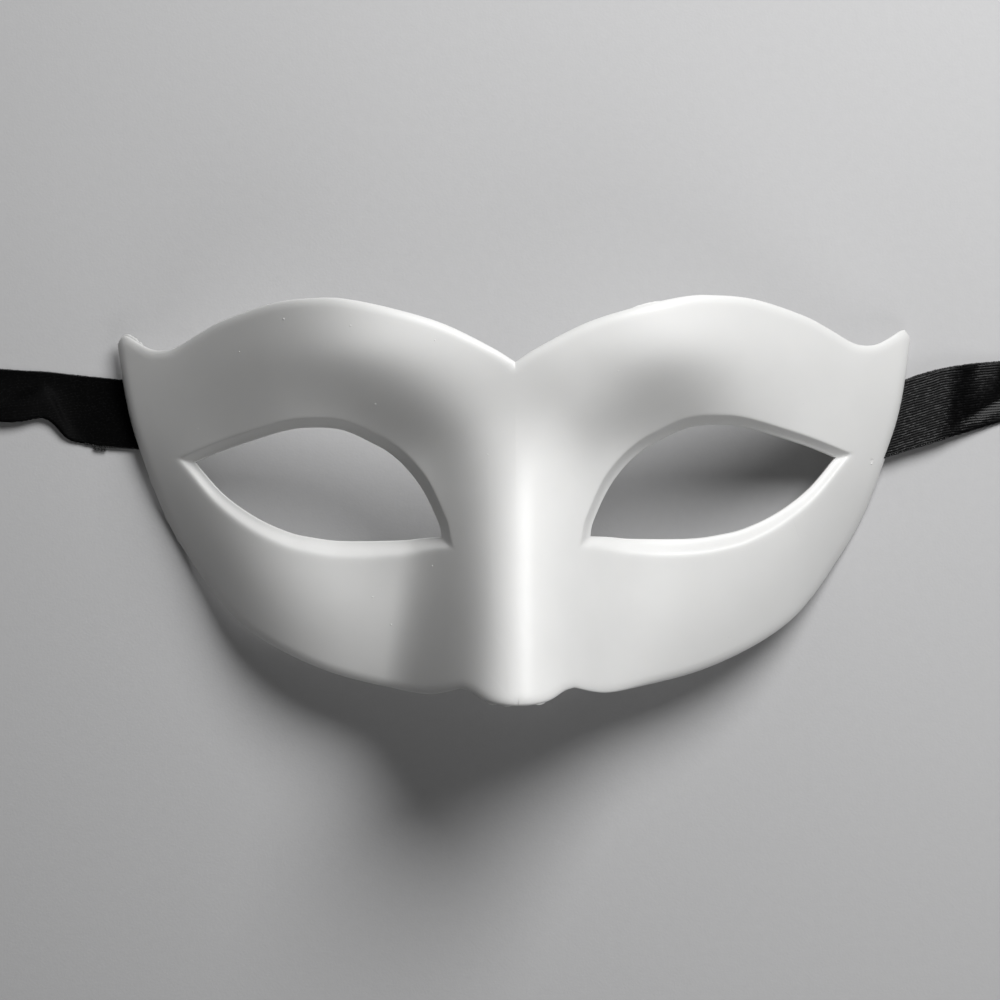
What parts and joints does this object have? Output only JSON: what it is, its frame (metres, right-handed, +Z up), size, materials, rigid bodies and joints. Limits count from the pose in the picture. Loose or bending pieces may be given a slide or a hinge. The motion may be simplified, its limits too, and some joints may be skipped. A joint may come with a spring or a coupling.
{
  "type": "colombina half mask",
  "caption": "Plain moulded half mask with curled brow tips, a nose ridge and two rimmed eye openings, and a flat satin ribbon glued behind each side.",
  "frame": {"origin": "on the surface that the mask lies on, under the middle of the whole piece", "axes": "+X across the mask to its left cheek as worn, +Y from the nose to the brow, +Z up out of the face"},
  "size_m": [0.242, 0.0872, 0.0608],
  "materials": {
    "mask_shell": "satin white moulded plastic",
    "ribbon": "black satin weave",
    "glue": "set glue"
  },
  "bodies": {
    "root": {"mask_shell": "mask_shell", "ribbon_right": "ribbon", "ribbon_left": "ribbon", "glue_pad_right": "glue", "glue_pad_left": "glue"}
  },
  "joints": []
}
